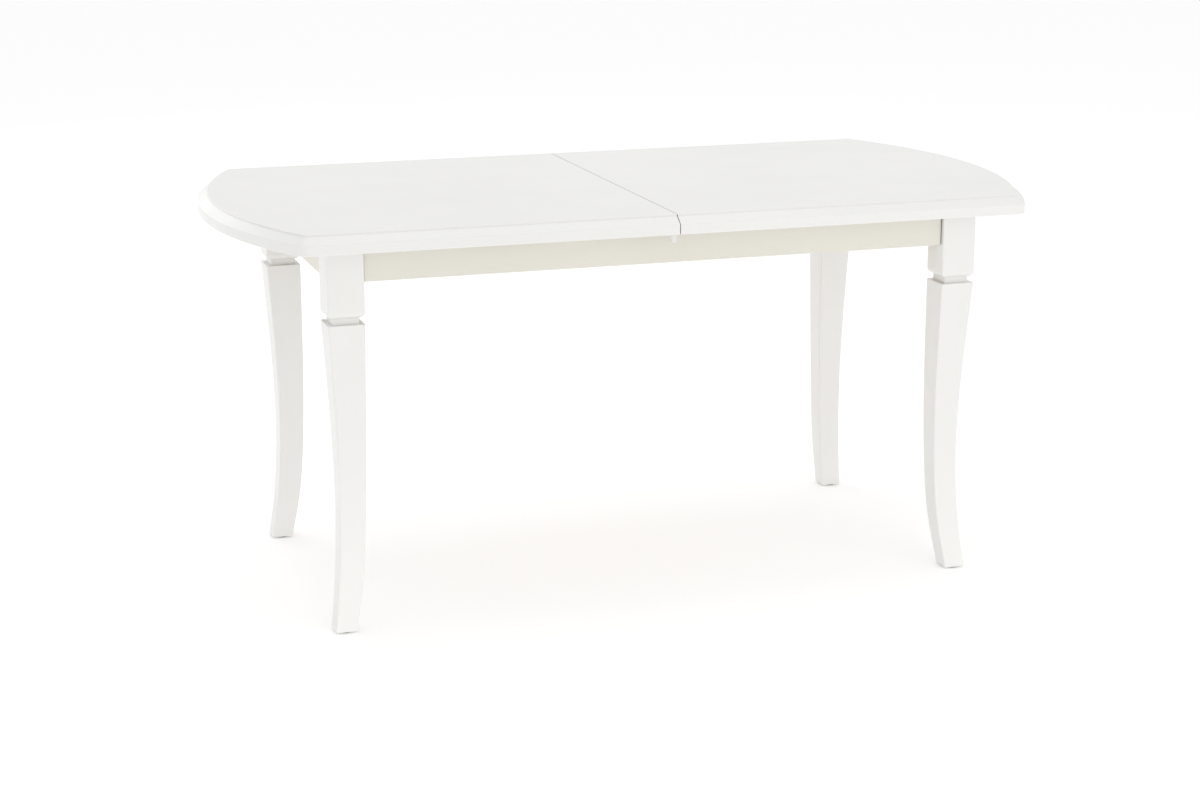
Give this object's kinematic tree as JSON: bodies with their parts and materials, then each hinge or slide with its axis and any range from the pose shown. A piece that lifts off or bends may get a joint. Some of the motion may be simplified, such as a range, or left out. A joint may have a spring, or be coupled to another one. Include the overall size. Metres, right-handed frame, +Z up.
{
  "type": "extendable dining table",
  "caption": "White lacquered extendable dining table: bow-ended top in sliding halves on square sabre legs, with a leaf stored in the frame.",
  "frame": {"origin": "on the floor, under the middle of the closed table top", "axes": "+X along the table's length (left to right), +Y from front to back, +Z up"},
  "size_m": [1.6, 0.82, 0.76],
  "materials": {
    "white_lacquer": "satin white lacquer",
    "cream_lacquer": "satin off-white lacquer",
    "beech": "waxed",
    "pine": "raw, planed",
    "zinc_steel": "zinc plated",
    "white_plastic": "moulded, satin",
    "nylon": "moulded, matt",
    "grey_felt": "wool felt",
    "glide_plastic": "moulded, matt"
  },
  "bodies": {
    "base_frame": {"extension_leaf": "white_lacquer", "leg_front_left": "white_lacquer", "leg_front_right": "white_lacquer", "leg_back_left": "white_lacquer", "leg_back_right": "white_lacquer", "apron_front": "cream_lacquer", "apron_back": "cream_lacquer", "apron_left": "cream_lacquer", "apron_right": "cream_lacquer", "corner_blocks": "pine", "cross_rail_left": "pine", "cross_rail_middle": "pine", "cross_rail_right": "pine", "guide_front": "beech", "guide_back": "beech", "slide_stops": "beech", "leaf_dowels": "beech", "guide_screws": "zinc_steel", "bracket_screws": "zinc_steel", "block_screws": "zinc_steel", "angle_brackets": "zinc_steel", "hanger_bolts": "zinc_steel", "bolt_washers": "zinc_steel", "bolt_nuts": "zinc_steel", "leg_top_pads": "nylon", "leaf_felts": "grey_felt", "foot_glides": "glide_plastic"},
    "left_half": {"top_left": "white_lacquer", "runner_left_front": "beech", "runner_left_back": "beech", "runner_screws_left": "zinc_steel", "seam_dowels": "beech", "latch_pivot_screws": "zinc_steel"},
    "right_half": {"top_right": "white_lacquer", "runner_right_front": "beech", "runner_right_back": "beech", "runner_screws_right": "zinc_steel", "latch_keepers": "zinc_steel"},
    "front_latch": {"latch_front": "white_plastic"},
    "back_latch": {"latch_back": "white_plastic"}
  },
  "joints": [
    {"name": "left_half_slide", "type": "slide", "parent": "base_frame", "child": "left_half", "axis": [-1, 0, 0], "range_m": [0, 0.412]},
    {"name": "right_half_slide", "type": "slide", "parent": "base_frame", "child": "right_half", "axis": [1, 0, 0], "range_m": [0, 0.412]},
    {"name": "front_latch_turn", "type": "hinge", "parent": "left_half", "child": "front_latch", "pos_m": [-0.008, -0.392, 0.7215], "axis": [0, 0, -1], "range_deg": [0, 80]},
    {"name": "back_latch_turn", "type": "hinge", "parent": "left_half", "child": "back_latch", "pos_m": [-0.008, 0.392, 0.7215], "axis": [0, 0, 1], "range_deg": [0, 80]}
  ]
}
